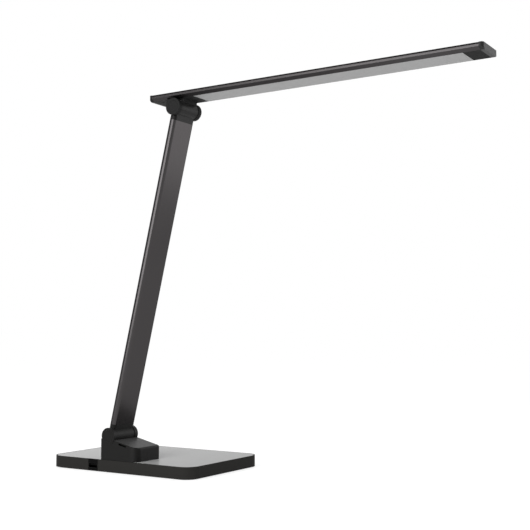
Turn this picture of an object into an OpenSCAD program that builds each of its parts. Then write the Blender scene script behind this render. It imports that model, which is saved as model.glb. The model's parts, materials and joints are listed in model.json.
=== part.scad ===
// Folding LED desk lamp: flat weighted base, leaning arm and slim tilting head.
// The origin is on the table, straight below the lower hinge and midway across the arm.
// +X is the way the head reaches, +Y runs along both hinge pins, +Z is up.

/* [Base] */
// Distance from the hinge line back to the base's rear edge
base_back = 89.5; // [80:0.5:110]
// Distance from the hinge line to the base's front edge
base_front = 117; // [100:0.5:150]
// Distance from the arm's middle to the base's near edge
base_near = 21.1; // [21:0.1:40]
// Distance from the arm's middle to the base's far edge
base_far = 118; // [100:0.5:150]
// Height of the base slab
base_h = 13.1; // [12.6:0.1:20]
// Radius of the base's corners in plan
base_corner_r = 17; // [14:0.5:25]
// Thickness of the housing's side wall
base_wall = 2.2; // [1.8:0.1:2.6]
// Width of the rim around the top plate
rim_w = 1.4; // [1:0.1:1.7]
// Thickness of the housing's deck
deck_t = 1.6; // [1.2:0.1:1.8]
// Thickness of the glossy top plate
top_plate_t = 2; // [1.5:0.1:2.2]
// Thickness of the bottom plate
bottom_plate_t = 1.2; // [1:0.1:1.4]
// Thickness of the anti-slip pad
pad_t = 0.8; // [0.5:0.1:1.5]
// Distance of the pad's edge inside the base's edge
pad_inset = 3; // [2.5:0.5:8]
// Free height above the ballast plate
ballast_room = 2.1; // [1.6:0.1:3]
// Distance of the corner bosses inside the base's edges
boss_inset = 11; // [9:0.5:13]
// Outer radius of the bosses
boss_r = 3.5; // [3:0.1:4]

/* [Electronics] */
// Middle of the charging port along the near edge
port_x = -21.9; // [-24:0.1:-20]
// Width of the charging port's bezel
bezel_w = 14.4; // [14:0.1:16]
// Width of the charging port's shell
port_w = 13.1; // [12.5:0.1:13.4]
// Height of the charging port's shell
port_h = 5.7; // [5.3:0.1:6]
// Depth of the charging port's shell
port_depth = 14; // [12:0.5:16]
// Sheet thickness of the charging port's shell
port_sheet = 0.35; // [0.25:0.05:0.5]
// Middle of the power inlet along the rear edge
jack_y = 21; // [14:0.5:30]
// Bore of the power inlet
jack_bore_d = 5.7; // [5:0.1:5.9]
// Diameter of the power inlet's centre pin
jack_pin_d = 2.1; // [1.5:0.1:2.5]
// Thickness of the circuit boards
board_t = 1.2; // [1:0.1:1.4]
// Height of the control board above the bottom plate
board_lift = 0.6; // [0.4:0.1:0.8]
// Far edge of the control board
board_far = 40; // [36:0.5:50]
// Outer diameter of the supply lead
lead_d = 2.6; // [2:0.1:2.7]
// Distance of the lead behind the hinge pins
lead_offset = 5.2; // [4.8:0.1:5.4]

/* [Hinges] */
// Height of the lower hinge pin above the base
hinge_h = 27; // [24:0.5:40]
// Radius of the hinge ears
ear_r = 9.5; // [9.2:0.1:11]
// Thickness of each hinge ear
ear_t = 5; // [4.6:0.1:7]
// Width of the knuckles between the ears
knuckle_w = 31; // [29:0.5:32]
// Difference between ear radius and knuckle radius
knuckle_step = 0.6; // [0.5:0.1:1]
// Clearance between knuckle and the saddle around it
saddle_gap = 0.35; // [0.3:0.05:0.5]
// Side clearance between knuckle and ear
side_gap = 0.3; // [0.3:0.05:0.6]
// Diameter of the hinge bolts
pin_d = 5; // [4:0.1:5.2]
// Radial running clearance of the knuckle on its bolt
running_fit = 0.05; // [0.02:0.01:0.1]
// Radial clearance of fixed pins and screws in their holes
fixed_fit = 0.03; // [0.02:0.01:0.1]
// Radius of the recess in each ear for bolt head, nut and cap
recess_r = 6.6; // [6:0.1:7]
// Height of the bolt head and of the nut
bolt_head_h = 2.2; // [1.8:0.1:2.4]
// Thickness of the ear caps
ear_cap_t = 1; // [0.8:0.1:1.2]
// Thickness of the friction washers
washer_t = 0.8; // [0.6:0.05:1]
// Outer radius of the friction washers
washer_r = 6; // [5:0.1:6.5]

/* [Foot block] */
// Distance from the hinge line to the block's back face
foot_back = 10.5; // [9.8:0.1:14]
// Distance from the hinge line to the block's front face
foot_front = 41.2; // [40:0.1:50]
// Height of the block's front edge above the base
foot_front_h = 15.5; // [13:0.1:17]
// Slope of the block's top
foot_slope = 12.5; // [9:0.5:14]
// Rounding along the block's front upper edge
foot_brow_r = 2.5; // [1:0.1:4]
// Plan radius of the block's near front corner
foot_corner_r = 10; // [4:0.5:12]
// How far the ears stand proud of the block's sides
foot_step = 0.4; // [0.2:0.1:0.8]
// Length of the slot in the block's near side
slot_len = 11; // [6:0.5:12]
// Height of the slot in the block's near side
slot_h = 2; // [1:0.1:2.4]
// Depth of the slot in the block's near side
slot_depth = 3; // [1:0.1:4]
// Distance of the slot's middle in front of the hinge line
slot_x = 20.9; // [18:0.1:24]
// Distance of the slot's middle below the block's top
slot_drop = 2.2; // [1.8:0.1:3]
// Diameter of the screws that hold the block
foot_screw_d = 4; // [3:0.1:4]
// Length that these screws reach into the block
foot_screw_grip = 9; // [6:0.5:11]

/* [Arm] */
// Distance between the two hinge pins
arm_len = 380; // [300:1:450]
// Lean of the arm from upright, towards the front
arm_lean = 13.65; // [0:0.05:30]
// Width of the arm
arm_w = 36.6; // [34:0.1:40]
// Thickness of the arm
arm_t = 8.4; // [8.4:0.1:9]
// Rounding of the arm's long edges
arm_edge_r = 4.1; // [2:0.1:4.1]
// Wall thickness of the arm's profile
arm_wall = 1.2; // [0.9:0.1:1.4]
// Distance from a hinge pin to the end of the arm's profile
neck_len = 14.2; // [12:0.1:20]
// Length of the plug inside each end of the profile
tenon_len = 22; // [18:0.5:30]
// Clearance of the plug in the profile
tenon_gap = 0.1; // [0.05:0.01:0.2]
// Diameter of the plug's screws
tenon_screw_d = 2.5; // [2:0.1:3]

/* [Head] */
// Distance from the upper hinge pin to the head's rear end
head_back = 34.9; // [34:0.1:50]
// Distance from the upper hinge pin to the head's front end
head_front = 357.9; // [300:0.1:365]
// Width of the head
head_w = 39.8; // [38:0.1:44]
// Thickness of the head
head_t = 6.8; // [6.5:0.1:8]
// Gap between the hinge ears and the head's underside
head_gap = 0.1; // [0.1:0.05:1]
// Width of the bevel along each lower edge
bevel_w = 4.6; // [4:0.1:5]
// Height of the bevel along each lower edge
bevel_h = 2.6; // [2:0.1:3]
// Chamfer along the profile's upper edges
head_chamfer = 1.4; // [0.5:0.1:1.6]
// Thickness of the profile's roof
roof_t = 1.2; // [0.9:0.1:1.3]
// Length of each end cap outside the profile
end_cap_t = 4.3; // [3.6:0.1:6]
// Plan radius of the end caps' outer corners
cap_corner_r = 3.5; // [1:0.1:3.6]
// Chamfer along the end caps' upper edges
cap_chamfer = 0.5; // [0.2:0.1:0.8]
// Distance from the upper hinge pin to the start of the light panel
panel_start = 24; // [20:0.5:30]
// Length of the dark cover between the light panel and the front cap
front_cover_len = 17.4; // [10:0.1:30]
// Thickness of the light panel below its side flanges
panel_t = 1.4; // [1.2:0.1:1.6]
// Thickness of the side flanges that hold the panel and the covers
flange_t = 0.8; // [0.6:0.05:0.9]
// Width of each side flange
flange_w = 1.3; // [1:0.1:1.4]
// Sliding clearance of the panel and the covers
slide_gap = 0.1; // [0.05:0.01:0.15]
// Width of the light-emitting strip board
strip_w = 24; // [18:0.5:26]
// Spacing of the diodes along the strip
diode_pitch = 13; // [8:0.5:20]
// Distance between the two rows of diodes
diode_rows = 10; // [6:0.5:14]

/* [Hidden] */

$fn = 64;
// Overlap of two shapes that are joined
eps = 0.02;
// How far a cut runs on past the face that it opens
past = 1;

// Colours
satin_black = [0.16, 0.16, 0.16];
gloss_black = [0.05, 0.05, 0.06];
anodised = [0.27, 0.27, 0.28];
steel = [0.72, 0.72, 0.74];
board_green = [0.10, 0.36, 0.22];
panel_grey = [0.82, 0.82, 0.82];
plain_white = [0.95, 0.95, 0.95];
phosphor = [0.94, 0.90, 0.55];
black_nickel = [0.20, 0.20, 0.21];

// Heights in the base
z_slab = pad_t;
z_floor = z_slab + bottom_plate_t;
z_base = z_slab + base_h;
z_deck = z_base - top_plate_t;
z_ceiling = z_deck - deck_t;
z_ballast = z_ceiling - ballast_room;
z_board = z_floor + board_lift;
z_board_top = z_board + board_t;
hinge_z = z_base + hinge_h;

// Hinges, measured outwards along the pin
knuckle_r = ear_r - knuckle_step;
saddle_r = knuckle_r + saddle_gap;
ear_in = knuckle_w / 2 + side_gap;
ear_out = ear_in + ear_t;
knuckle_half = knuckle_w / 2;
cap_air = 0.2;
recess_depth = ear_cap_t + cap_air + bolt_head_h;
bolt_seat = ear_out - recess_depth;
bolt_head_r = recess_r - 1.2;
nut_r = recess_r - 1.8;
cap_fit = 0.1;
washer_air = 0.05;
washer_recess = washer_t + washer_air - side_gap;
pin_r = pin_d / 2;

// The lead's chamber inside each knuckle
chamber_r = lead_offset + lead_d / 2 + 0.6;
chamber_half = lead_d / 2 + 0.9;
lead_hole_r = lead_d / 2 + 0.3;
lead_rise = knuckle_r - 0.4;
lead_slant = atan(lead_offset / lead_rise);

// Base fittings
plate_fit = 0.15;
bottom_screw_r = 1.3;
bottom_head_r = 2.5;
boss_depth = z_ceiling - z_floor - 1.5;
boss_x_back = boss_inset - base_back;
boss_x_front = base_front - boss_inset;
boss_y_near = boss_inset - base_near;
boss_y_far = base_far - boss_inset;
boss_x_mid = (foot_front + boss_x_front) / 2;
boss_spots = [[boss_x_back, boss_y_near], [boss_x_back, boss_y_far], [boss_x_front, boss_y_near],
              [boss_x_front, boss_y_far], [boss_x_mid, boss_y_near], [0, boss_y_far]];
foot_half = ear_out - foot_step;
foot_screw_r = foot_screw_d / 2;
foot_head_r = foot_screw_r * 1.9;
foot_boss_r = foot_screw_r + 2.5;
foot_screw_y = 14;
foot_skin = 3;
cheek_top = hinge_z - ear_r / 3;
foot_screw_x = [4, foot_front - 7.2];
foot_spots = [for (x = foot_screw_x, y = [-foot_screw_y, foot_screw_y]) [x, y]];
ballast_back = foot_screw_x[0] - foot_head_r - 1.7;
ballast_air = 0.6;
board_air = 3;

// Control board and what stands on it
board_front = -foot_back - 2.7;
board_back = boss_x_back + boss_r + 3;
board_near = base_wall + 1.9 - base_near;
jack_w = 9;
jack_len = 12;
jack_h = min(6.4, z_ceiling - z_board_top - 0.1);
jack_z = z_board_top + jack_h / 2;
jack_nose_r = jack_bore_d / 2 + 0.9;
jack_bore_len = 9.5;
jack_pin_set = 1;
jack_board_near = jack_y - jack_w / 2 - 5;
jack_nose_len = base_wall + 1;
board_tail = -base_back + jack_nose_len + 0.3;
board_screw_r = 1;
board_screw_head_r = 1.9;
board_screw_head_h = 1;
board_screw_inset = 4;
board_spots = [[board_back + board_screw_inset, board_near + board_screw_inset],
               [board_back + board_screw_inset, board_far - board_screw_inset],
               [board_front - board_screw_inset, board_far - board_screw_inset],
               [board_tail + board_screw_inset, board_far - board_screw_inset]];
chip = [7, 7, 1];
choke = [8, 8, 4.2];
driver = [5, 4, 1.2];
resistor = [1.2, 2, 0.6];
resistor_pitch = 3;
resistor_count = 5;
can_r = 2.6;
can_h = 5.4;
can_pitch = 7;
lead_plug = [6, 7, 4];
ribbon_plug = [6, 10, 1.6];
board_mid = (board_back + board_front) / 2;
lead_turn_r = 5;
lead_low_z = z_board_top + lead_plug[2] / 2;
ribbon_w = 8;
ribbon_t = 0.25;
ribbon_y = 26;
touch_x = [foot_front + 20.8, foot_front + 60.8];
touch_w = 28;
touch_t = 1;
port_z = z_board_top + port_h / 2;
port_tongue_w = port_w - 2;
port_tongue_t = 1.8;
port_tongue_set = 1.5;
port_root = 3;
bezel_flange = 1.6;
bezel_flange_t = 1.2;
bezel_fit = 0.1;

// Arm, measured from a hinge pin
shoulder_z = ear_r + saddle_gap;
tenon_t = arm_t - 2 * arm_wall - 2 * tenon_gap;
tenon_screw_r = tenon_screw_d / 2;
tenon_screw_y = 9;
tenon_screw_z = neck_len + tenon_len / 2;
head_pivot = [arm_len * sin(arm_lean), 0, hinge_z + arm_len * cos(arm_lean)];

// Head, measured from the upper hinge pin
head_z = ear_r + head_gap;
head_half = head_w / 2;
sole_half = head_half - bevel_w;
lip_half = sole_half - 0.1;
panel_half = lip_half - slide_gap;
groove_half = lip_half + flange_w + slide_gap;
groove_top = panel_t + flange_t + slide_gap;
bay_half = head_half - 1.4;
bay_low = groove_top + 1.1;
bay_top = head_t - roof_t;
cover_end = head_front - end_cap_t;
cover_start = cover_end - front_cover_len;
bracket_end = end_cap_t - head_back;
strip_t = 1;
strip_air = 2;
strip_x = [panel_start + strip_air, cover_start - strip_air];
diode_size = [3.5, 2.8, 0.7];
cap_tongue_len = 4;
cap_tongue_inset = 4.5;
bracket_screw_r = 1.4;
bracket_screw_head_r = 2.6;
bracket_screw_x = bracket_end + 7;
bracket_screw_y = 9;
bracket_boss_r = 3;
web_back = ear_r + 2;
web_low = arm_t / 2 + 0.7;
web_half = ear_in + 1.7;
lip_front = ear_r - 0.2;
lip_front_half = 12;

// ---- Helpers ----

// A rectangle from [x0, y0] to [x1, y1] with round corners
module round_rect(x0, y0, x1, y1, r) {
    translate([x0 + r, y0]) square([x1 - x0 - 2 * r, y1 - y0]);
    translate([x0, y0 + r]) square([x1 - x0, y1 - y0 - 2 * r]);
    for (x = [x0 + r, x1 - r], y = [y0 + r, y1 - r]) translate([x, y]) circle(r);
}

// The base's outline, moved inwards by a distance
module base_outline(inset) {
    round_rect(inset - base_back, inset - base_near, base_front - inset, base_far - inset,
               base_corner_r - inset);
}

// Extrudes a drawing of X and Z along Y
module along_y(y0, y1) translate([0, y1, 0]) rotate([90, 0, 0]) linear_extrude(y1 - y0) children();

// Extrudes a drawing of Y and Z along X
module along_x(x0, x1) translate([x0, 0, 0]) rotate([90, 0, 90]) linear_extrude(x1 - x0) children();

// Extrudes a drawing of X and Y from one height to another
module up(z0, z1) translate([0, 0, z0]) linear_extrude(z1 - z0) children();

// A round bar along Y
module bar_y(r, y0, y1) translate([0, y0, 0]) rotate([-90, 0, 0]) cylinder(h = y1 - y0, r = r);

module at_lower_hinge() translate([0, 0, hinge_z]) children();
module at_arm() at_lower_hinge() rotate([0, arm_lean, 0]) children();
module at_head() translate(head_pivot) children();

// Unit direction of a route of [x, z] points at point i
function heading(route, i) =
    let (a = route[max(i - 1, 0)], b = route[min(i + 1, len(route) - 1)]) (b - a) / norm(b - a);

// A round tube along a route of [x, z] points in the plane y = 0
module tube(route, d, sides = 8) {
    last = len(route) - 1;
    points = [for (i = [0:last], k = [0:sides - 1])
        let (t = heading(route, i), a = 360 * k / sides)
        [route[i][0] - t[1] * sin(a) * d / 2, cos(a) * d / 2, route[i][1] + t[0] * sin(a) * d / 2]];
    skin = [for (i = [0:last - 1], k = [0:sides - 1])
        let (n = (k + 1) % sides, a = i * sides)
        each [[a + k, a + n, a + sides + n], [a + k, a + sides + n, a + sides + k]]];
    start = [for (k = [sides - 1:-1:0]) k];
    end = [for (k = [0:sides - 1]) last * sides + k];
    polyhedron(points, concat(skin, [start, end]));
}

// Screw along +Z from its head's outer face, with a conical head
module countersunk(r, head_r, len) {
    cylinder(h = head_r - r, r1 = head_r, r2 = r);
    translate([0, 0, head_r - r - eps]) cylinder(h = len - head_r + r + eps, r = r);
}

// ---- Hinge hardware, drawn about a pin through the origin along Y ----

module hinge_bolt() {
    bar_y(bolt_head_r, -bolt_seat - bolt_head_h, -bolt_seat);
    bar_y(pin_r, -bolt_seat - eps, bolt_seat + bolt_head_h);
}

module hinge_nut() {
    difference() {
        translate([0, bolt_seat, 0]) rotate([-90, 0, 0]) cylinder(h = bolt_head_h, r = nut_r, $fn = 6);
        bar_y(pin_r + fixed_fit, bolt_seat - past, ear_out);
    }
}

module ear_cap_pair() {
    for (side = [0, 1]) mirror([0, side, 0])
        bar_y(recess_r - cap_fit, ear_out - ear_cap_t, ear_out);
}

module washer_pair() {
    for (side = [0, 1]) mirror([0, side, 0]) difference() {
        bar_y(washer_r, knuckle_half - washer_recess, knuckle_half - washer_recess + washer_t);
        bar_y(pin_r + 2 * running_fit, 0, ear_out);
    }
}

// Bolt hole and end recesses through both ears
module ear_holes() {
    bar_y(pin_r + fixed_fit, -ear_out - past, ear_out + past);
    for (side = [0, 1]) mirror([0, side, 0]) bar_y(recess_r, bolt_seat, ear_out + past);
}

// ---- Base ----

module base_pad() color(satin_black) up(0, z_slab) base_outline(pad_inset);

module bottom_plate() color(satin_black) {
    difference() {
        up(z_slab, z_floor) base_outline(base_wall + plate_fit);
        for (p = boss_spots) translate([p[0], p[1], z_slab]) {
            cylinder(h = bottom_head_r - bottom_screw_r, r1 = bottom_head_r + fixed_fit,
                     r2 = bottom_screw_r + fixed_fit);
            translate([0, 0, -past])
                cylinder(h = bottom_plate_t + 2 * past, r = bottom_screw_r + fixed_fit);
        }
        for (p = board_spots) translate([p[0], p[1], z_slab - past])
            cylinder(h = bottom_plate_t + 2 * past, r = board_screw_r + fixed_fit);
    }
    for (p = board_spots) translate([p[0], p[1], z_floor - eps]) difference() {
        cylinder(h = board_lift + eps, r = board_screw_head_r);
        translate([0, 0, -past]) cylinder(h = board_lift + 2 * past, r = board_screw_r + fixed_fit);
    }
}

module bottom_screws() color(steel)
    for (p = boss_spots) translate([p[0], p[1], z_slab])
        countersunk(bottom_screw_r, bottom_head_r, bottom_plate_t + boss_depth - 1);

// Holes for the foot screws and the lead through the deck or the top plate
module foot_holes(z0, z1) {
    for (p = foot_spots) translate([p[0], p[1], z0])
        cylinder(h = z1 - z0, r = foot_screw_r + fixed_fit);
    translate([-lead_offset, 0, z0]) cylinder(h = z1 - z0, r = lead_hole_r);
}

module base_housing() color(satin_black) difference() {
    union() {
        difference() {
            up(z_slab, z_base) base_outline(0);
            up(z_slab - past, z_ceiling) base_outline(base_wall);
            up(z_deck, z_base + past) base_outline(rim_w);
        }
        for (p = boss_spots) translate([p[0], p[1], z_floor])
            cylinder(h = z_ceiling - z_floor + eps, r = boss_r);
        for (p = foot_spots) translate([p[0], p[1], z_ballast])
            cylinder(h = z_ceiling - z_ballast + eps, r = foot_boss_r);
    }
    for (p = boss_spots) translate([p[0], p[1], z_floor - past])
        cylinder(h = boss_depth + past, r = bottom_screw_r + fixed_fit);
    foot_holes(z_ballast - past, z_deck + past);
    translate([port_x - bezel_w / 2, -base_near - past, z_slab - past])
        cube([bezel_w, past + base_wall, base_h + 2 * past]);
    translate([-base_back - past, jack_y, jack_z]) rotate([0, 90, 0])
        cylinder(h = base_wall + 2 * past, r = jack_nose_r + bezel_fit);
}

module top_plate() color(gloss_black) difference() {
    up(z_deck, z_base) base_outline(rim_w + plate_fit);
    foot_holes(z_deck - past, z_base + past);
    translate([port_x - bezel_w / 2, -base_near - past, z_deck - past])
        cube([bezel_w, past + base_wall + plate_fit, top_plate_t + 2 * past]);
}

module ballast_plate() color(steel) difference() {
    up(z_floor, z_ballast) difference() {
        base_outline(base_wall + ballast_air);
        translate([-base_back, -base_near])
            square([base_back + ballast_back, base_near + board_far + board_air]);
        for (p = boss_spots) translate(p) circle(boss_r + ballast_air);
    }
    for (p = foot_spots) translate([p[0], p[1], z_floor]) {
        cylinder(h = foot_head_r - foot_screw_r, r1 = foot_head_r + fixed_fit,
                 r2 = foot_screw_r + fixed_fit);
        translate([0, 0, -past]) cylinder(h = z_ballast, r = foot_screw_r + fixed_fit);
    }
}

module foot_screws() color(steel)
    for (p = foot_spots) translate([p[0], p[1], z_floor])
        countersunk(foot_screw_r, foot_head_r, z_base + foot_screw_grip - z_floor);

// ---- Electronics in the base ----

module control_board() color(board_green) difference() {
    union() {
        translate([board_back, board_near, z_board])
            cube([board_front - board_back, board_far - board_near, board_t]);
        translate([board_tail, jack_board_near, z_board])
            cube([board_back - board_tail + eps, board_far - jack_board_near, board_t]);
    }
    for (p = board_spots) translate([p[0], p[1], z_board - past])
        cylinder(h = board_t + 2 * past, r = board_screw_r + fixed_fit);
}

module board_screws() color(steel)
    for (p = board_spots) translate([p[0], p[1], z_slab]) {
        cylinder(h = z_board_top - z_slab, r = board_screw_r);
        translate([0, 0, z_board_top - z_slab]) cylinder(h = board_screw_head_h, r = board_screw_head_r);
    }

// A block that stands on the control board, given by its middle and its size
module on_board(x, y, size) translate([x - size[0] / 2, y - size[1] / 2, z_board_top]) cube(size);

module board_parts() color(satin_black) {
    on_board(board_front - lead_plug[0] / 2, 0, lead_plug);
    on_board(board_front - ribbon_plug[0] / 2, ribbon_y, ribbon_plug);
    on_board(board_mid, board_far - 38, chip);
    on_board(board_mid, board_far - 22, choke);
    on_board(board_mid - 14, board_far - 34, choke);
    on_board(board_mid + 16, board_far - 27, driver);
    for (i = [0, 1]) translate([board_mid - 14, board_far - 16 + can_pitch * i, z_board_top])
        cylinder(h = can_h, r = can_r);
    for (i = [1:resistor_count]) on_board(board_mid - 9 + resistor_pitch * i, board_far - 10, resistor);
}

// Rectangle about the middle of the port, in X and Z
module port_rect(w, h) translate([port_x - w / 2, port_z - h / 2]) square([w, h]);

module port_shell() color(black_nickel) difference() {
    along_y(-base_near, port_depth - base_near) port_rect(port_w, port_h);
    along_y(-base_near - past, port_depth - base_near - 2 * port_sheet)
        port_rect(port_w - 2 * port_sheet, port_h - 2 * port_sheet);
}

module port_tongue() color(satin_black) {
    back = port_depth - base_near - 2 * port_sheet;
    along_y(port_tongue_set - base_near, back) translate([0, port_tongue_t / 2])
        port_rect(port_tongue_w, port_tongue_t);
    along_y(back - port_root, back) port_rect(port_w - 2 * port_sheet, port_h - 2 * port_sheet);
}

module port_bezel() color(gloss_black) difference() {
    union() {
        translate([port_x - bezel_w / 2 + bezel_fit, -base_near, z_slab])
            cube([bezel_w - 2 * bezel_fit, base_wall, base_h]);
        translate([port_x - bezel_w / 2 - bezel_flange, base_wall - base_near, z_floor + bezel_fit])
            cube([bezel_w + 2 * bezel_flange, bezel_flange_t, z_ceiling - z_floor - 2 * bezel_fit]);
        translate([port_x - bezel_w / 2 + 1, base_wall - base_near - eps, z_floor + bezel_fit])
            cube([bezel_w - 2, bezel_flange_t, z_ceiling - z_floor - 2 * bezel_fit]);
    }
    along_y(-base_near - past, base_wall + bezel_flange_t + past - base_near)
        port_rect(port_w + 2 * bezel_fit, port_h + 2 * bezel_fit);
}

module jack_body() color(satin_black) difference() {
    union() {
        translate([base_wall + bezel_fit - base_back, jack_y - jack_w / 2, z_board_top])
            cube([jack_len, jack_w, jack_h]);
        translate([-base_back, jack_y, jack_z]) rotate([0, 90, 0])
            cylinder(h = jack_nose_len, r = jack_nose_r);
    }
    translate([-base_back - past, jack_y, jack_z]) rotate([0, 90, 0])
        cylinder(h = jack_bore_len + past, r = jack_bore_d / 2);
}

module jack_pin() color(steel)
    translate([jack_pin_set - base_back, jack_y, jack_z]) rotate([0, 90, 0])
        cylinder(h = jack_bore_len - jack_pin_set, r = jack_pin_d / 2);

module touch_board() color(board_green)
    translate([touch_x[0], ribbon_y - touch_w / 2, z_ceiling - touch_t])
        cube([touch_x[1] - touch_x[0], touch_w, touch_t]);

// Flat cable from the touch board, over the ballast plate and down to the control board
module touch_ribbon() color(plain_white) {
    top_z = z_ceiling - touch_t - ribbon_t;
    run_z = z_ballast + 0.1;
    plug_z = z_board_top + ribbon_plug[2] / 2;
    drop_x = ballast_back - 1;
    overlap = 7;
    along_y(ribbon_y - ribbon_w / 2, ribbon_y + ribbon_w / 2) {
        translate([touch_x[0] - ribbon_t, top_z]) square([overlap, ribbon_t]);
        translate([touch_x[0] - ribbon_t, run_z]) square([ribbon_t, top_z + ribbon_t - run_z]);
        translate([drop_x, run_z]) square([touch_x[0] - drop_x, ribbon_t]);
        translate([drop_x, plug_z]) square([ribbon_t, run_z + ribbon_t - plug_z]);
        translate([board_front, plug_z]) square([drop_x + ribbon_t - board_front, ribbon_t]);
    }
}

// The lead's stretch in the base: down behind the knuckle, then level into its plug
module base_lead() color(satin_black) {
    top = hinge_z - saddle_r - 0.1;
    turn = [for (a = [0:15:90])
        [-lead_offset - lead_turn_r * (1 - cos(a)), lead_low_z + lead_turn_r * (1 - sin(a))]];
    tube(concat([[-lead_offset, top]], turn, [[board_front, lead_low_z]]), lead_d);
}

// ---- Foot block ----

// Height of the block's sloping top at a distance in front of the hinge line
function foot_top(x) = z_base + foot_front_h + (foot_front - x) * tan(foot_slope);

module foot_side_view() {
    back_top = hinge_z - web_low;
    brow_x = foot_front - foot_brow_r;
    brow = [brow_x, foot_top(brow_x) - foot_brow_r / cos(foot_slope)];
    polygon([[-foot_back, z_base], [foot_front, z_base], [foot_front, brow[1]],
             brow + foot_brow_r * [sin(foot_slope), cos(foot_slope)],
             [knuckle_r * 0.75, foot_top(knuckle_r * 0.75)], [0, back_top], [-foot_back, back_top]]);
    translate(brow) circle(foot_brow_r);
}

module foot_plan() {
    r = foot_corner_r;
    translate([-foot_back, -foot_half]) square([foot_back + foot_front - r, 2 * foot_half]);
    translate([-foot_back, r - foot_half]) square([foot_back + foot_front, 2 * foot_half - r]);
    translate([foot_front - r, r - foot_half]) circle(r);
}

// Open space under the block's sloping top, seen only from below
module foot_hollow() {
    x0 = ear_r + 2;
    x1 = foot_front - foot_skin - 1;
    half = foot_screw_y - foot_screw_r - 2;
    along_y(-half, half) polygon([[x0, z_base - past], [x1, z_base - past], [x1, foot_top(x1) - foot_skin],
                                  [x0, hinge_z - saddle_r - foot_skin]]);
}

module foot_block() color(satin_black) difference() {
    union() {
        intersection() {
            along_y(-foot_half, foot_half) foot_side_view();
            up(z_base - past, hinge_z) foot_plan();
        }
        for (side = [0, 1]) mirror([0, side, 0]) {
            at_lower_hinge() bar_y(ear_r, ear_in, ear_out);
            translate([-foot_back, ear_in, z_base])
                cube([foot_back, foot_half - ear_in, cheek_top - z_base]);
        }
    }
    at_lower_hinge() bar_y(saddle_r, -ear_in, ear_in);
    at_lower_hinge() ear_holes();
    for (p = foot_spots) translate([p[0], p[1], z_base - past])
        cylinder(h = foot_screw_grip + 2 * past, r = foot_screw_r + fixed_fit);
    translate([-lead_offset, 0, z_base - past]) cylinder(h = hinge_h, r = lead_hole_r);
    foot_hollow();
    translate([slot_x, -ear_out - past, foot_top(slot_x) - slot_drop]) rotate([0, foot_slope, 0])
        translate([-slot_len / 2, 0, -slot_h / 2])
            cube([slot_len, ear_out + past - foot_half + slot_depth, slot_h]);
}

module foot_caps() color(satin_black) at_lower_hinge() ear_cap_pair();
module base_hinge_bolt() color(steel) at_lower_hinge() hinge_bolt();
module base_hinge_nut() color(steel) at_lower_hinge() hinge_nut();

// ---- Arm ----

// Section of the arm, moved inwards by a distance
module arm_outline(inset) {
    t = arm_t / 2 - inset;
    w = arm_w / 2 - inset;
    round_rect(-t, -w, t, w, arm_edge_r - inset);
}

// One end fitting of the arm: a barrel at the origin, a neck that widens to the arm's own outline
// just clear of the ears, and a plug up inside the profile
module knuckle() difference() {
    union() {
        bar_y(knuckle_r, -knuckle_half, knuckle_half);
        up(0, shoulder_z + eps) translate([-arm_t / 2, -knuckle_half]) square([arm_t, knuckle_w]);
        up(shoulder_z, neck_len) arm_outline(0);
        up(neck_len - eps, neck_len + tenon_len) arm_outline(arm_wall + tenon_gap);
    }
    bar_y(pin_r + running_fit, -ear_out, ear_out);
    for (side = [0, 1]) mirror([0, side, 0])
        bar_y(washer_r + cap_fit, knuckle_half - washer_recess, ear_out);
    bar_y(chamber_r, -chamber_half, chamber_half);
    translate([-ear_r, -chamber_half, -ear_r]) cube([ear_r, 2 * chamber_half, ear_r]);
    translate([0, 0, lead_rise]) {
        sphere(lead_hole_r);
        cylinder(h = neck_len + tenon_len, r = lead_hole_r);
        rotate([0, 180 + lead_slant, 0]) cylinder(h = lead_rise / cos(lead_slant), r = lead_hole_r);
    }
    for (y = [-tenon_screw_y, tenon_screw_y]) translate([-tenon_t, y, tenon_screw_z])
        rotate([0, 90, 0]) cylinder(h = 2 * tenon_t, r = tenon_screw_r + fixed_fit);
}

// Repeats a fitting at the upper end of the arm, turned over
module at_arm_top() at_arm() translate([0, 0, arm_len]) mirror([0, 0, 1]) children();

module lower_knuckle() color(satin_black) at_arm() knuckle();
module upper_knuckle() color(satin_black) at_arm_top() knuckle();
module base_hinge_washers() color(steel) at_arm() washer_pair();
module head_hinge_washers() color(steel) at_arm_top() washer_pair();

module arm_profile() color(anodised) at_arm() difference() {
    up(neck_len, arm_len - neck_len) arm_outline(0);
    up(neck_len - past, arm_len) arm_outline(arm_wall);
    for (z = [tenon_screw_z, arm_len - tenon_screw_z], y = [-tenon_screw_y, tenon_screw_y])
        translate([-arm_t / 2, y, z]) rotate([0, 90, 0]) {
            cylinder(h = tenon_screw_r, r1 = 2 * tenon_screw_r + fixed_fit,
                     r2 = tenon_screw_r + fixed_fit);
            translate([0, 0, -past])
                cylinder(h = arm_wall + tenon_gap + past, r = tenon_screw_r + fixed_fit);
        }
}

module arm_screws() color(steel) at_arm()
    for (z = [tenon_screw_z, arm_len - tenon_screw_z], y = [-tenon_screw_y, tenon_screw_y])
        translate([-arm_t / 2, y, z]) rotate([0, 90, 0])
            countersunk(tenon_screw_r, 2 * tenon_screw_r, arm_wall + tenon_t * 0.8);

// The lead's stretch in the arm, slanting back past the pin at each end
module arm_lead() color(satin_black) {
    ease = 0.1;
    start = [[-lead_offset, 0], [-lead_offset * ease, lead_rise * (1 - ease)], [0, lead_rise * (1 + ease)]];
    end = [for (i = [2:-1:0]) [start[i][0], arm_len - start[i][1]]];
    at_arm() tube(concat(start, end), lead_d);
}

// ---- Head ----

// Outline across the head, from its underside up, with its own upper chamfer
module head_section(chamfer) {
    shoulder = head_t - chamfer;
    polygon([[-sole_half, 0], [sole_half, 0], [head_half, bevel_h], [head_half, shoulder],
             [head_half - chamfer, head_t], [chamfer - head_half, head_t],
             [-head_half, shoulder], [-head_half, bevel_h]]);
}

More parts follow.
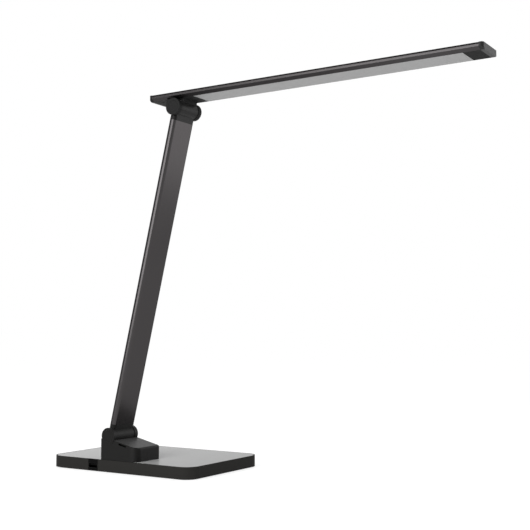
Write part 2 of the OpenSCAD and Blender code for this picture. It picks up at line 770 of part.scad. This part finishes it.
// Space inside the head's profile, with the groove for the panel and the covers
module head_bay() {
    translate([-lip_half, -past]) square([2 * lip_half, panel_t + 2 * past]);
    translate([-groove_half, panel_t]) square([2 * groove_half, groove_top - panel_t]);
    polygon([[-groove_half, groove_top - eps], [groove_half, groove_top - eps], [bay_half, bay_low],
             [bay_half, bay_top], [-bay_half, bay_top], [-bay_half, bay_low]]);
}

// Section of the panel and of the covers that slide in the same groove
module slider_section() {
    translate([-panel_half, 0]) square([2 * panel_half, panel_t + flange_t]);
    translate([-panel_half - flange_w, panel_t + slide_gap / 2])
        square([2 * panel_half + 2 * flange_w, flange_t]);
}

module at_sole() at_head() translate([0, 0, head_z]) children();

module head_profile() color(anodised) at_sole() difference() {
    along_x(bracket_end, cover_end) head_section(head_chamfer);
    along_x(-head_back, head_front) head_bay();
    for (y = [-bracket_screw_y, bracket_screw_y]) translate([bracket_screw_x, y, 0])
        cylinder(h = head_t - 0.4, r = bracket_screw_r + fixed_fit);
}

// Plan of an end cap from its outer face at x = 0 inwards, with round outer corners
module cap_plan() {
    r = cap_corner_r;
    translate([r, -head_half]) square([end_cap_t - r, head_w]);
    translate([0, r - head_half]) square([end_cap_t, head_w - 2 * r]);
    for (side = [-1, 1]) translate([r, side * (head_half - r)]) circle(r);
}

// End cap from its outer face at x = 0 inwards, with the tongue that holds it in the profile
module end_cap() {
    intersection() {
        along_x(0, end_cap_t) head_section(cap_chamfer);
        up(-past, head_t + past) cap_plan();
    }
    along_x(end_cap_t - eps, end_cap_t + cap_tongue_len)
        translate([cap_tongue_inset - bay_half, groove_top + slide_gap])
            square([2 * (bay_half - cap_tongue_inset), bay_top - groove_top - 2 * slide_gap]);
}

module rear_cap() color(satin_black) at_sole() translate([-head_back, 0, 0]) end_cap();
module front_cap() color(satin_black) at_sole() translate([head_front, 0, 0]) mirror([1, 0, 0]) end_cap();

module front_cover() color(satin_black) at_sole() along_x(cover_start, cover_end) slider_section();
module light_panel() color(panel_grey) at_sole() along_x(panel_start, cover_start) slider_section();

module strip_board() color(plain_white) at_sole()
    translate([strip_x[0], -strip_w / 2, bay_top - strip_t])
        cube([strip_x[1] - strip_x[0], strip_w, strip_t]);

module diodes() color(phosphor) at_sole() {
    count = floor((strip_x[1] - strip_x[0] - diode_size[0] - 4) / diode_pitch);
    first = (strip_x[0] + strip_x[1] - count * diode_pitch) / 2;
    for (i = [0:count], y = [-diode_rows / 2, diode_rows / 2])
        translate([first + i * diode_pitch - diode_size[0] / 2, y - diode_size[1] / 2,
                   bay_top - strip_t - diode_size[2]]) cube(diode_size);
}

// Saddle over the upper knuckle, in X and Z about the pin
module saddle_view(x0, x1) translate([x0, web_low]) square([x1 - x0, head_z - web_low]);

module head_bracket() color(satin_black) at_head() difference() {
    union() {
        translate([0, 0, head_z]) along_x(bracket_end, panel_start) slider_section();
        along_y(-lip_half + 1, lip_half - 1) saddle_view(-web_back, 0);
        translate([0, 0, -head_gap]) along_y(-web_half, web_half) saddle_view(-web_back, 0);
        along_y(-lip_front_half, lip_front_half) saddle_view(0, lip_front);
        along_y(-lip_front_half, lip_front_half)
            translate([-web_back, head_z - eps]) square([web_back + lip_front, panel_t]);
        for (side = [0, 1]) mirror([0, side, 0]) bar_y(ear_r, ear_in, ear_out);
        for (y = [-bracket_screw_y, bracket_screw_y]) translate([bracket_screw_x, y, head_z])
            cylinder(h = bay_top - slide_gap, r = bracket_boss_r);
    }
    bar_y(saddle_r, -ear_in, ear_in);
    ear_holes();
    translate([-lead_offset, 0, 0]) cylinder(h = head_z + bay_top, r = lead_hole_r);
    for (y = [-bracket_screw_y, bracket_screw_y]) translate([bracket_screw_x, y, head_z]) {
        cylinder(h = bracket_screw_head_r - bracket_screw_r, r1 = bracket_screw_head_r + fixed_fit,
                 r2 = bracket_screw_r + fixed_fit);
        translate([0, 0, -past]) cylinder(h = head_t, r = bracket_screw_r + fixed_fit);
    }
}

module bracket_screws() color(steel) at_sole()
    for (y = [-bracket_screw_y, bracket_screw_y]) translate([bracket_screw_x, y, 0])
        countersunk(bracket_screw_r, bracket_screw_head_r, head_t - 0.6);

module bracket_caps() color(satin_black) at_head() ear_cap_pair();
module head_hinge_bolt() color(steel) at_head() hinge_bolt();
module head_hinge_nut() color(steel) at_head() hinge_nut();

// The lead's stretch in the head: up through the bracket, then level to the strip board
module head_lead() color(satin_black) {
    level = head_z + (groove_top + bay_top) / 2;
    turn_r = 0.7 * lead_d;
    turn = [for (a = [0:15:90])
        [-lead_offset + turn_r * (1 - cos(a)), level - turn_r * (1 - sin(a))]];
    at_head() tube(concat([[-lead_offset, head_z - head_gap]], turn, [[strip_x[0] - 0.3, level]]), lead_d);
}

base_pad();
bottom_plate();
base_housing();
top_plate();
ballast_plate();
bottom_screws();
control_board();
board_screws();
board_parts();
port_shell();
port_tongue();
port_bezel();
jack_body();
jack_pin();
touch_board();
touch_ribbon();
foot_block();
foot_screws();
foot_caps();
base_hinge_bolt();
base_hinge_nut();
base_lead();
base_hinge_washers();
lower_knuckle();
arm_profile();
upper_knuckle();
arm_screws();
arm_lead();
head_hinge_washers();
head_bracket();
bracket_caps();
head_hinge_bolt();
head_hinge_nut();
bracket_screws();
head_profile();
rear_cap();
front_cap();
front_cover();
light_panel();
strip_board();
diodes();
head_lead();
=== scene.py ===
"""Looks of the folding desk lamp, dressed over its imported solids.

Metres, in the solids' own frame: +X is the way the head reaches, +Y runs along both hinge pins
towards the wide side of the base, +Z is up, and the table is at Z = 0.
"""

import json
import math

import bmesh
import bpy
from mathutils import Matrix, Vector


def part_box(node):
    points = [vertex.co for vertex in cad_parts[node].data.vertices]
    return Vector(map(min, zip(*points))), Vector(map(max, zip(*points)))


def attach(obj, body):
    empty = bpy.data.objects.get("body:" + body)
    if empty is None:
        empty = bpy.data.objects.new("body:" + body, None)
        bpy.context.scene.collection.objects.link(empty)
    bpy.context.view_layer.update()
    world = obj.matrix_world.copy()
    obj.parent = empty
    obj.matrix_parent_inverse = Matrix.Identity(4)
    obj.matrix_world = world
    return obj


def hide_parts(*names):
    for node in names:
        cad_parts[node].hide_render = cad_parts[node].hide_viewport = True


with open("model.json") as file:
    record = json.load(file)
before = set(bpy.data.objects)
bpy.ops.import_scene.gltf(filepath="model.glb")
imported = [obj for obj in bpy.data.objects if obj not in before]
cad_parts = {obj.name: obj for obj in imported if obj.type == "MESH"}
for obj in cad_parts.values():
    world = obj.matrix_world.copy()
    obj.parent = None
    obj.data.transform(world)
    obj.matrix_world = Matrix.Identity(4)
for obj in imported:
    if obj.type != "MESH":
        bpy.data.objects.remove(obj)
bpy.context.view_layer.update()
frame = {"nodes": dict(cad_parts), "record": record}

MM = 0.001
WHITE = (1, 1, 1, 1)

# ---- Camera, floor and light ----

CAMERA_PLACE = Vector((0.74553, -0.86479, 0.16165))
CAMERA_AZIMUTH = math.radians(32.33)
CAMERA_ELEVATION = math.radians(-3.832)
CAMERA_LENS_MM = 65.78
CAMERA_SENSOR_MM = 36.0
CAMERA_CLIP_END = 200

FLOOR_HALF = 60.0
FLOOR_DROP = 0.2 * MM
# The table's whiteness for the light that it throws back, and for the rays that see it
FLOOR_WHITE = 0.86
FLOOR_SHOWN = 0.35

# Strength of the plain world light, and how bright the shown studio is on the photographer's side
# and overhead, where white is 1
ROOM_LIGHT = 0.72
ROOM_DARK = 0.5
CEILING_DARK = 0.15
# The studio darkens upwards over these Z of a direction, and brightens over these Y of it
CEILING_RISE = (0.45, 0.80)
DARK_SIDE = (-0.35, 0.10)
# Over these metres from the origin the table goes from white to the studio's brightness
TABLE_FADE = (1.0, 6.0)

# Each softbox: where its middle is, the point that it faces, its width and height, and its power
SOFTBOXES = {
    "key": (Vector((0.12, -1.0, 0.5)), Vector((0.12, 0.0, 0.5)), (1.0, 1.0), 12.0),
    "fill": (Vector((0.75, 0.85, 0.42)), Vector((0.08, 0.0, 0.42)), (0.8, 0.5), 1.5),
}


def make_camera():
    """The photograph's viewpoint: ahead of the arm on the -Y side, low, and tipped slightly up."""
    data = bpy.data.cameras.new("camera")
    data.lens = CAMERA_LENS_MM
    data.sensor_width = CAMERA_SENSOR_MM
    data.clip_end = CAMERA_CLIP_END
    camera = bpy.data.objects.new("camera", data)
    bpy.context.scene.collection.objects.link(camera)
    a, e = CAMERA_AZIMUTH, CAMERA_ELEVATION
    forward = Vector((-math.sin(a) * math.cos(e), math.cos(a) * math.cos(e), -math.sin(e)))
    right = Vector((math.cos(a), math.sin(a), 0))
    up = right.cross(forward)
    turn = Matrix((right, up, -forward)).transposed()
    camera.matrix_world = Matrix.Translation(CAMERA_PLACE) @ turn.to_4x4()
    bpy.context.scene.camera = camera


def shown_rays(tree):
    """1 for the camera, glossy and transmission rays that see the white studio, 0 for the rest."""
    path = tree.nodes.new("ShaderNodeLightPath")
    total = path.outputs["Is Camera Ray"]
    for name in ("Is Glossy Ray", "Is Transmission Ray"):
        add = tree.nodes.new("ShaderNodeMath")
        add.operation = "MAXIMUM"
        tree.links.new(total, add.inputs[0])
        tree.links.new(path.outputs[name], add.inputs[1])
        total = add.outputs[0]
    return total


def ramp(tree, source, low, high, start, end):
    """Runs smoothly from the number start, at low, to the number end, at high."""
    span = tree.nodes.new("ShaderNodeMapRange")
    span.interpolation_type = "SMOOTHSTEP"
    span.inputs["From Min"].default_value = low
    span.inputs["From Max"].default_value = high
    span.inputs["To Min"].default_value = start
    span.inputs["To Max"].default_value = end
    tree.links.new(source, span.inputs["Value"])
    return span.outputs["Result"]


def make_world():
    """A white studio behind the lamp, darker overhead and on the photographer's side."""
    world = bpy.data.worlds.new("studio")
    bpy.context.scene.world = world
    world.use_nodes = True
    tree = world.node_tree
    tree.nodes.clear()
    link = tree.links.new
    out = tree.nodes.new("ShaderNodeOutputWorld")
    place = tree.nodes.new("ShaderNodeTexCoord")
    split = tree.nodes.new("ShaderNodeSeparateXYZ")
    link(place.outputs["Generated"], split.inputs[0])
    white = tree.nodes.new("ShaderNodeMath")
    white.operation = "MULTIPLY"
    link(ramp(tree, split.outputs["Z"], *CEILING_RISE, 1.0, CEILING_DARK), white.inputs[0])
    link(ramp(tree, split.outputs["Y"], *DARK_SIDE, ROOM_DARK, 1.0), white.inputs[1])
    seen = tree.nodes.new("ShaderNodeBackground")
    seen.inputs["Color"].default_value = WHITE
    link(white.outputs[0], seen.inputs["Strength"])
    lit = tree.nodes.new("ShaderNodeBackground")
    lit.inputs["Color"].default_value = WHITE
    lit.inputs["Strength"].default_value = ROOM_LIGHT
    mix = tree.nodes.new("ShaderNodeMixShader")
    link(shown_rays(tree), mix.inputs[0])
    link(lit.outputs[0], mix.inputs[1])
    link(seen.outputs[0], mix.inputs[2])
    link(mix.outputs[0], out.inputs[0])


def make_floor():
    """A plain pale table, as white as the studio where it is lit, which keeps the soft shadow."""
    mesh = bpy.data.meshes.new("floor")
    corners = [(x * FLOOR_HALF, y * FLOOR_HALF, -FLOOR_DROP)
               for x, y in ((-1, -1), (1, -1), (1, 1), (-1, 1))]
    mesh.from_pydata(corners, [], [(0, 1, 2, 3)])
    floor = bpy.data.objects.new("floor", mesh)
    bpy.context.scene.collection.objects.link(floor)
    material = bpy.data.materials.new("floor")
    material.use_nodes = True
    tree = material.node_tree
    tree.nodes.clear()
    link = tree.links.new
    out = tree.nodes.new("ShaderNodeOutputMaterial")
    table = tree.nodes.new("ShaderNodeBsdfDiffuse")
    table.inputs["Color"].default_value = (*grey(FLOOR_WHITE), 1)
    shaded = tree.nodes.new("ShaderNodeBsdfDiffuse")
    shaded.inputs["Color"].default_value = (*grey(FLOOR_SHOWN), 1)
    place = tree.nodes.new("ShaderNodeTexCoord").outputs["Object"]
    heading = tree.nodes.new("ShaderNodeVectorMath")
    heading.operation = "NORMALIZE"
    link(place, heading.inputs[0])
    split = tree.nodes.new("ShaderNodeSeparateXYZ")
    link(heading.outputs["Vector"], split.inputs[0])
    distance = tree.nodes.new("ShaderNodeVectorMath")
    distance.operation = "LENGTH"
    link(place, distance.inputs[0])
    white = tree.nodes.new("ShaderNodeMix")
    link(ramp(tree, distance.outputs["Value"], *TABLE_FADE, 0.0, 1.0), white.inputs["Factor"])
    white.inputs["A"].default_value = 1.0
    link(ramp(tree, split.outputs["Y"], *DARK_SIDE, ROOM_DARK, 1.0), white.inputs["B"])
    rest = tree.nodes.new("ShaderNodeMath")
    rest.operation = "SUBTRACT"
    link(white.outputs["Result"], rest.inputs[0])
    rest.inputs[1].default_value = FLOOR_SHOWN * ROOM_LIGHT
    glow = tree.nodes.new("ShaderNodeEmission")
    link(rest.outputs[0], glow.inputs["Strength"])
    shown = tree.nodes.new("ShaderNodeAddShader")
    link(shaded.outputs[0], shown.inputs[0])
    link(glow.outputs[0], shown.inputs[1])
    mix = tree.nodes.new("ShaderNodeMixShader")
    link(shown_rays(tree), mix.inputs[0])
    link(table.outputs[0], mix.inputs[1])
    link(shown.outputs[0], mix.inputs[2])
    link(mix.outputs[0], out.inputs[0])
    mesh.materials.append(material)


def make_softbox(name, place, target, size, watts):
    """A rectangular lamp that faces its target and that the camera doesn't see."""
    data = bpy.data.lights.new(name, "AREA")
    data.shape = "RECTANGLE"
    data.size, data.size_y = size
    data.energy = watts
    lamp = bpy.data.objects.new(name, data)
    bpy.context.scene.collection.objects.link(lamp)
    lamp.location = place
    lamp.rotation_euler = (target - place).to_track_quat("-Z", "Y").to_euler()
    lamp.visible_camera = False


# ---- Materials ----

# Tones wander in blotches of this scale; the grain is finer
BLOTCH_SCALE = 18.0
BLOTCH_DETAIL = 2.0
GRAIN_DETAIL = 3.0
# The part of the noise's range that is spread over a range of roughness
NOISE_MIDDLE = (0.3, 0.7)

BODY_IOR = 1.5
SHEEN_ROUGHNESS = 0.4
BUMP_STRENGTH = 1.0


def grey(value):
    return (value, value, value)


def value_noise(tree, place, scale, detail):
    """Noise over the object's own coordinates."""
    noise = tree.nodes.new("ShaderNodeTexNoise")
    noise.inputs["Scale"].default_value = scale
    noise.inputs["Detail"].default_value = detail
    tree.links.new(place, noise.inputs["Vector"])
    return noise.outputs["Fac"]


def spread(tree, source, low, high):
    """Maps the middle of a noise's range onto low to high."""
    span = tree.nodes.new("ShaderNodeMapRange")
    span.inputs["From Min"].default_value = NOISE_MIDDLE[0]
    span.inputs["From Max"].default_value = NOISE_MIDDLE[1]
    span.inputs["To Min"].default_value = low
    span.inputs["To Max"].default_value = high
    tree.links.new(source, span.inputs["Value"])
    return span.outputs["Result"]


def tinted(tree, source, dark, light):
    """A colour that wanders between two close tones."""
    mix = tree.nodes.new("ShaderNodeMix")
    mix.data_type = "RGBA"
    tree.links.new(source, mix.inputs["Factor"])
    mix.inputs["A"].default_value = (*dark, 1)
    mix.inputs["B"].default_value = (*light, 1)
    return mix.outputs["Result"]


def worn(tree, place, roughness, start_x, end_x, start, end):
    """Roughness with an extra share that runs from start, at start_x, to end, at end_x."""
    split = tree.nodes.new("ShaderNodeSeparateXYZ")
    tree.links.new(place, split.inputs[0])
    total = tree.nodes.new("ShaderNodeMath")
    total.operation = "ADD"
    tree.links.new(roughness, total.inputs[0])
    extra = ramp(tree, split.outputs["X"], start_x, end_x, start, end)
    tree.links.new(extra, total.inputs[1])
    return total.outputs[0]


def surface(name, dark, light, rough, grain, bump_mm=0.0, metallic=0.0, specular=0.5,
            edge_tint=1.0, sheen=0.0, wear=None):
    """A surface of two close tones, with roughness between two values and a fine grain."""
    material = bpy.data.materials.new(name)
    material.use_nodes = True
    tree = material.node_tree
    link = tree.links.new
    shader = tree.nodes["Principled BSDF"]
    shader.inputs["Metallic"].default_value = metallic
    shader.inputs["IOR"].default_value = BODY_IOR
    shader.inputs["Specular IOR Level"].default_value = specular
    shader.inputs["Sheen Weight"].default_value = sheen
    shader.inputs["Sheen Roughness"].default_value = SHEEN_ROUGHNESS
    shader.inputs["Specular Tint"].default_value = (*grey(edge_tint), 1)
    place = tree.nodes.new("ShaderNodeTexCoord").outputs["Object"]
    blotches = value_noise(tree, place, BLOTCH_SCALE, BLOTCH_DETAIL)
    link(tinted(tree, blotches, dark, light), shader.inputs["Base Color"])
    fine = value_noise(tree, place, grain, GRAIN_DETAIL)
    roughness = spread(tree, fine, *rough)
    if wear:
        roughness = worn(tree, place, roughness, *wear)
    link(roughness, shader.inputs["Roughness"])
    if bump_mm:
        bump = tree.nodes.new("ShaderNodeBump")
        bump.inputs["Strength"].default_value = BUMP_STRENGTH
        bump.inputs["Distance"].default_value = bump_mm * MM
        link(fine, bump.inputs["Height"])
        link(bump.outputs[0], shader.inputs["Normal"])
    return material


# Each look: two close tones, the range of its roughness, the grain's scale, and the grain's depth
# where it has one. wear: from X, to X, in metres, and the roughness added at each.
LOOKS = {
    "foot_black": dict(dark=(0.0032, 0.003, 0.0028), light=(0.0042, 0.004, 0.0037),
                       rough=(0.36, 0.46), grain=2600, bump_mm=0.012, specular=0.14, sheen=0.11),
    "base_black": dict(dark=(0.0195, 0.019, 0.018), light=(0.0225, 0.022, 0.0208),
                       rough=(0.42, 0.5), grain=2200, bump_mm=0.008, specular=0.02),
    "gloss_black": dict(dark=grey(0.006), light=grey(0.008), rough=(0.279, 0.287), grain=60,
                        sheen=0.41, wear=(0.0, 0.1, 0.0, 0.08)),
    "anodised_dark": dict(dark=(0.0575, 0.054, 0.055), light=(0.0615, 0.058, 0.059),
                          rough=(0.2, 0.27), grain=900, bump_mm=0.002, metallic=1.0,
                          edge_tint=0.4),
    "head_anodised": dict(dark=(0.066, 0.0622, 0.0634), light=(0.0708, 0.0671, 0.0682),
                          rough=(0.36, 0.44), grain=900, bump_mm=0.002, metallic=1.0,
                          edge_tint=0.25),
    # painted shade: a darker, duller copy of cap_black for the rear end cap
    "rear_cap_painted_shade": dict(dark=grey(0.007), light=grey(0.009), rough=(0.5, 0.6), grain=2200,
                           bump_mm=0.01, specular=0.12),
    "cap_black": dict(dark=grey(0.009), light=grey(0.011), rough=(0.42, 0.52), grain=2200,
                      bump_mm=0.01, specular=0.25),
    "cover_black": dict(dark=grey(0.0125), light=grey(0.016), rough=(0.75, 0.85), grain=2200,
                        bump_mm=0.01, specular=0.1),
    "bracket_black": dict(dark=grey(0.0115), light=grey(0.0135), rough=(0.6, 0.7), grain=2200,
                          bump_mm=0.01, specular=0.1),
    "opal_grey": dict(dark=grey(0.295), light=grey(0.315), rough=(0.42, 0.5), grain=500,
                      specular=0.3),
    "bezel_black": dict(dark=grey(0.0025), light=grey(0.0035), rough=(0.5, 0.6), grain=400,
                        specular=0.03),
    "port_metal": dict(dark=grey(0.02), light=grey(0.03), rough=(0.3, 0.4), grain=700,
                       metallic=1.0),
    "port_white": dict(dark=grey(0.7), light=grey(0.75), rough=(0.35, 0.45), grain=700),
    "steel": dict(dark=(0.5, 0.5, 0.51), light=(0.56, 0.56, 0.57), rough=(0.25, 0.4), grain=900,
                  bump_mm=0.003, metallic=1.0),
    "screw_black": dict(dark=grey(0.03), light=grey(0.04), rough=(0.3, 0.42), grain=900,
                        bump_mm=0.004, metallic=0.6),
    "steel_black": dict(dark=grey(0.02), light=grey(0.026), rough=(0.4, 0.5), grain=1200,
                        bump_mm=0.01),
    "pad_rubber": dict(dark=grey(0.016), light=grey(0.022), rough=(0.7, 0.85), grain=1600,
                       bump_mm=0.06, specular=0.25),
    "lead_black": dict(dark=grey(0.012), light=grey(0.016), rough=(0.45, 0.55), grain=900,
                       bump_mm=0.01, specular=0.3),
    "washer": dict(dark=grey(0.45), light=grey(0.5), rough=(0.3, 0.4), grain=800,
                   bump_mm=0.003, metallic=1.0),
    "board": dict(dark=(0.02, 0.11, 0.05), light=(0.03, 0.14, 0.07), rough=(0.3, 0.4),
                  grain=300),
    "components": dict(dark=grey(0.03), light=grey(0.05), rough=(0.4, 0.55), grain=900,
                       bump_mm=0.01),
    "strip_white": dict(dark=grey(0.7), light=grey(0.76), rough=(0.35, 0.45), grain=500),
    "phosphor": dict(dark=(0.75, 0.62, 0.16), light=(0.8, 0.7, 0.24), rough=(0.4, 0.5),
                     grain=900),
}
MATERIALS = {name: surface(name, **look) for name, look in LOOKS.items()}


# ---- Pieces ----

SLOTS = {part["node"]: part["material_slot"] for part in frame["record"]["subparts"]}
BODIES = {node: body for body, nodes in frame["record"]["behaviour"]["bodies"].items()
          for node in nodes}

# Nodes whose finish differs from the rest of their slot; the rear cap's is painted shade
FINISHES = {
    "head_profile": "head_anodised",
    # the rear end cap gets painted shade, a darker copy of the cap plastic
    "rear_cap": "rear_cap_painted_shade",
    "front_cover": "cover_black",
    "port_tongue": "bezel_black",
    "head_bracket": "bracket_black",
    "bracket_caps": "bracket_black",
    "bracket_screws": "bracket_black",
}

# The box round the blind slot in the foot block's near side, inside which the faces get painted
# shade
SLOT_MIDDLE = Vector((20.9, -18.7, 31.7)) * MM
SLOT_HALF = Vector((6.0, 1.6, 2.7)) * MM

# How wide each visible solid's hard edges are rounded over
EDGE_MM = {
    "base_pad": 0.2, "bottom_plate": 0.15, "base_housing": 0.45, "top_plate": 0.3,
    "port_shell": 0.08, "port_tongue": 0.15, "port_bezel": 0.2, "jack_body": 0.2,
    "jack_pin": 0.3, "foot_block": 0.5, "foot_caps": 0.25, "lower_knuckle": 0.4,
    "arm_profile": 0.2, "upper_knuckle": 0.4, "arm_screws": 0.1, "head_bracket": 0.4,
    "bracket_caps": 0.25, "bracket_screws": 0.1, "head_profile": 0.25, "rear_cap": 0.25,
    "front_cap": 0.25, "front_cover": 0.1, "light_panel": 0.1,
}
EDGE_SEGMENTS = 3
BEVEL_PROFILE = 0.5
# Bars whose shoulders, the upper edges at their full width, are first rounded wider
SHOULDER_MM = {"head_profile": 1.0}
SHOULDER_SEGMENTS = 6
# A shoulder lies within this of the bar's side
SHOULDER_NEAR = 0.01 * MM

CROSS_HEADED = ("arm_screws", "bracket_screws")
# A cross recess, in screw head radii: reach, half width and depth, and its taper to the bottom
RECESS_REACH = 0.58
RECESS_HALF_WIDTH = 0.15
RECESS_DEPTH = 0.5
RECESS_TAPER = 0.62
# Faces larger than this share of the largest one are screw heads
HEAD_SHARE = 0.9

# Vertices nearer than this, in metres, are one: in the solid, and in the rounded piece
SAME_VERTEX = 1e-6
WELD = 0.0015 * MM
# Faces that meet at less than FLAT are one face, at more than CREASE a hard edge to round, and at
# more than SHARP a sharp edge in the shading
FLAT = math.radians(0.6)
CREASE = math.radians(28)
SHARP = math.radians(40)
FLATS_WEIGHT = 80


def finish_piece(piece, node):
    """Gives a piece its material, its body and the solid that it stands for."""
    slot = SLOTS[node]
    piece.data.materials.clear()
    piece.data.materials.append(MATERIALS[FINISHES.get(node, slot)])
    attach(piece, BODIES[node])
    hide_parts(node)
    return piece


def is_shoulder(edge, low, high):
    """True for an edge along the widest part of a bar, above the bar's middle."""
    return all(vert.co.z > (low.z + high.z) / 2
               and min(vert.co.y - low.y, high.y - vert.co.y) < SHOULDER_NEAR
               for vert in edge.verts)


def clean(shape):
    """Closes up the slivers that rounding or cutting leaves."""
    bmesh.ops.dissolve_degenerate(shape, dist=WELD, edges=shape.edges)
    bmesh.ops.remove_doubles(shape, verts=shape.verts, dist=WELD)


def round_over(shape, edges, width_mm, segments):
    """Rounds the edges, narrower where there is no room."""
    bmesh.ops.bevel(shape, geom=edges, offset=width_mm * MM, offset_type="OFFSET",
                    segments=segments, profile=BEVEL_PROFILE, affect="EDGES",
                    clamp_overlap=True)


def softened(node, width_mm):
    """The CAD solid rebuilt with whole flat faces and every hard edge rounded over."""
    mesh = frame["nodes"][node].data.copy()
    shape = bmesh.new()
    shape.from_mesh(mesh)
    bmesh.ops.remove_doubles(shape, verts=shape.verts, dist=SAME_VERTEX)
    bmesh.ops.dissolve_limit(shape, angle_limit=FLAT, use_dissolve_boundaries=False,
                             verts=shape.verts, edges=shape.edges)
    if node in SHOULDER_MM:
        low, high = [Vector(corner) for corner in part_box(node)]
        shoulders = [edge for edge in shape.edges if is_shoulder(edge, low, high)]
        round_over(shape, shoulders, SHOULDER_MM[node], SHOULDER_SEGMENTS)
    hard = [edge for edge in shape.edges
            if len(edge.link_faces) == 2 and edge.calc_face_angle() > CREASE]
    round_over(shape, hard, width_mm, EDGE_SEGMENTS)
    clean(shape)
    for face in shape.faces:
        face.smooth = True
    shape.to_mesh(mesh)
    shape.free()
    piece = bpy.data.objects.new(node + "_piece", mesh)
    bpy.context.scene.collection.objects.link(piece)
    mesh.set_sharp_from_angle(angle=SHARP)
    weight = piece.modifiers.new("flats", "WEIGHTED_NORMAL")
    weight.keep_sharp = True
    weight.weight = FLATS_WEIGHT
    return piece


def add_recess(cutter, head):
    """Adds a tapered cross to the cutter, half sunk into the screw head."""
    radius = math.sqrt(head.calc_area() / math.pi)
    reach, half, depth = [share * radius
                          for share in (RECESS_REACH, RECESS_HALF_WIDTH, RECESS_DEPTH)]
    quarter = [(reach, half), (half, half), (half, reach)]
    outline = [Matrix.Rotation(turn * math.pi / 2, 2) @ Vector(point)
               for turn in range(4) for point in quarter]
    facing = head.normal.to_track_quat("Z", "Y").to_matrix().to_4x4()
    place = Matrix.Translation(head.calc_center_median()) @ facing
    rings = [[cutter.verts.new(place @ Vector((x * scale, y * scale, z))) for x, y in outline]
             for scale, z in ((1.0, depth), (1.0, 0.0), (RECESS_TAPER, -depth))]
    for lower, upper in zip(rings[1:], rings):
        for i in range(len(outline)):
            j = (i + 1) % len(outline)
            cutter.faces.new((lower[i], lower[j], upper[j], upper[i]))
    cutter.faces.new(rings[0])
    cutter.faces.new(reversed(rings[-1]))


def cross_recessed(node, width_mm):
    """A group of screws with a tapered cross recess cut into each head."""
    piece = softened(node, width_mm)
    shape = bmesh.new()
    shape.from_mesh(piece.data)
    largest = max(face.calc_area() for face in shape.faces)
    cutter = bmesh.new()
    for head in [face for face in shape.faces if face.calc_area() > HEAD_SHARE * largest]:
        add_recess(cutter, head)
    shape.free()
    mesh = bpy.data.meshes.new(node + "_recess")
    cutter.to_mesh(mesh)
    cutter.free()
    tool = bpy.data.objects.new(node + "_recess", mesh)
    bpy.context.scene.collection.objects.link(tool)
    cut = piece.modifiers.new("recess", "BOOLEAN")
    cut.operation = "DIFFERENCE"
    cut.object = tool
    bpy.context.view_layer.update()
    evaluated = piece.evaluated_get(bpy.context.evaluated_depsgraph_get())
    result = bpy.data.meshes.new_from_object(evaluated)
    piece.modifiers.clear()
    shape = bmesh.new()
    shape.from_mesh(result)
    clean(shape)
    shape.to_mesh(result)
    shape.free()
    piece.data = result
    bpy.data.objects.remove(tool)
    return piece


def paint_slot_shade(block):
    """Paints shade into the block's slot: the faces inside it get the blacker, duller bezel_black.
    """
    block.data.materials.append(MATERIALS["bezel_black"])
    for face in block.data.polygons:
        inside = face.center - SLOT_MIDDLE
        if all(abs(inside[i]) < SLOT_HALF[i] for i in range(3)):
            face.material_index = 1


def dress():
    """Rounds the solids that can be seen and finishes the ones that stay as they are."""
    for node, width in EDGE_MM.items():
        make = cross_recessed if node in CROSS_HEADED else softened
        piece = finish_piece(make(node, width), node)
        if node == "foot_block":
            # painted shade: the slot's inside faces are made blacker than the block
            paint_slot_shade(piece)
    for node, solid in frame["nodes"].items():
        if node not in EDGE_MM:
            solid.data.materials.clear()
            solid.data.materials.append(MATERIALS[SLOTS[node]])


make_camera()
make_world()
make_floor()
for name, (place, target, size, watts) in SOFTBOXES.items():
    make_softbox(name, place, target, size, watts)
dress()

bpy.context.scene.view_settings.view_transform = "Standard"
